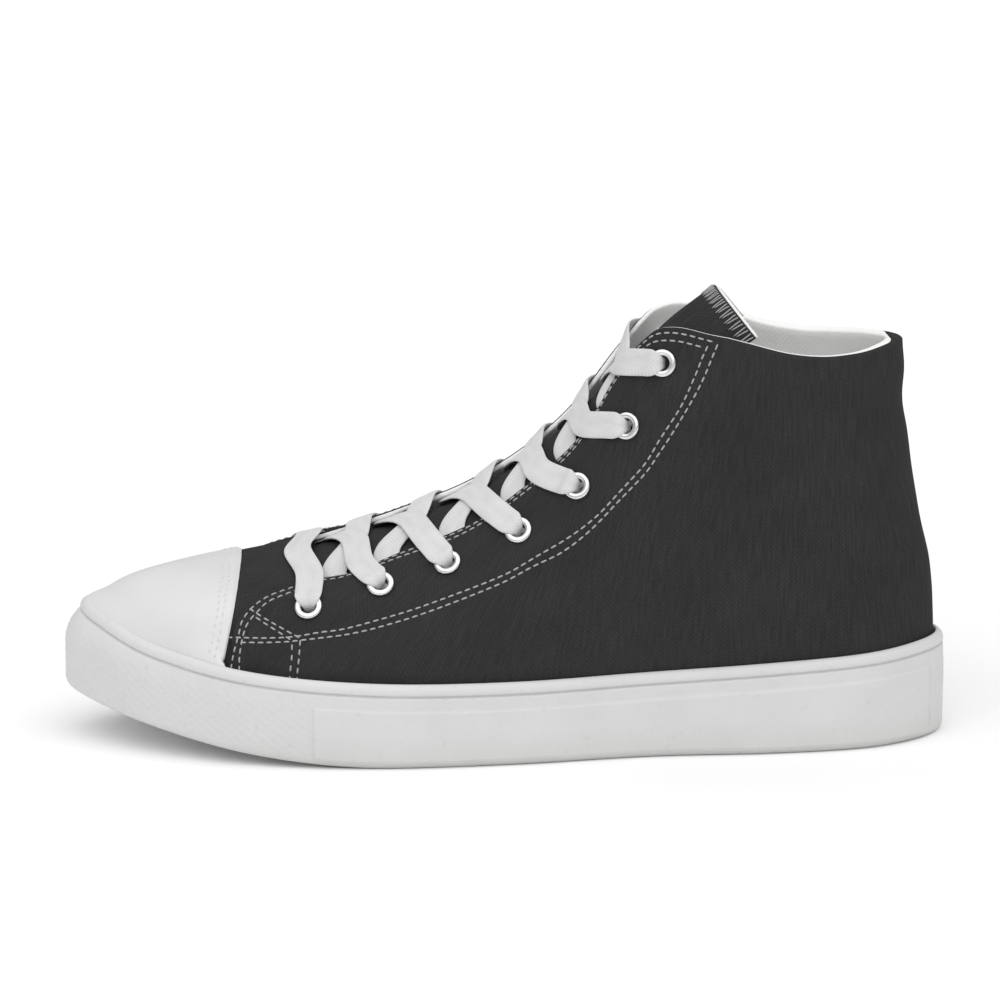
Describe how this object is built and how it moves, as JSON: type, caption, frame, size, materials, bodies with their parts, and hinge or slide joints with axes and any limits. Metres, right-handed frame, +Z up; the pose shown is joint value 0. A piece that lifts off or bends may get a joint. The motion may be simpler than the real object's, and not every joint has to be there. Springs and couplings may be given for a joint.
{
  "type": "high top sneaker",
  "caption": "Left high top canvas sneaker with a hollow ankle-high upper, padded collar, rubber toe cap, tongue, flat laces through metal eyelets and a moulded cup sole.",
  "frame": {"origin": "centre of the bounding box's bottom face, on the plane the sole stands on", "axes": "+Z up, toe towards -X, heel towards +X, the outer (lateral) side of this left shoe towards -Y"},
  "size_m": [0.2998, 0.1053, 0.1536],
  "materials": {
    "sole_rubber": "satin white moulded rubber",
    "insole_cloth": "matte off-white woven sock lining",
    "upper_canvas": "matte charcoal canvas, white lining inside",
    "toe_cap_rubber": "smooth satin white",
    "tongue_canvas": "matte charcoal canvas with an overlocked top edge",
    "lace_cotton": "soft flat white woven lace",
    "eyelet_metal": "bright silver metal"
  },
  "bodies": {
    "root": {"sole": "sole_rubber", "insole": "insole_cloth", "upper": "upper_canvas", "toe_cap": "toe_cap_rubber", "tongue": "tongue_canvas", "lace_bar_1": "lace_cotton", "lace_cross_2": "lace_cotton", "lace_cross_3": "lace_cotton", "lace_cross_4": "lace_cotton", "lace_cross_5": "lace_cotton", "lace_cross_6": "lace_cotton", "lace_cross_7": "lace_cotton", "eyelet_lateral_1": "eyelet_metal", "eyelet_lateral_2": "eyelet_metal", "eyelet_lateral_3": "eyelet_metal", "eyelet_lateral_4": "eyelet_metal", "eyelet_lateral_5": "eyelet_metal", "eyelet_lateral_6": "eyelet_metal", "eyelet_lateral_7": "eyelet_metal", "eyelet_medial_1": "eyelet_metal", "eyelet_medial_2": "eyelet_metal", "eyelet_medial_3": "eyelet_metal", "eyelet_medial_4": "eyelet_metal", "eyelet_medial_5": "eyelet_metal", "eyelet_medial_6": "eyelet_metal", "eyelet_medial_7": "eyelet_metal"}
  },
  "joints": []
}
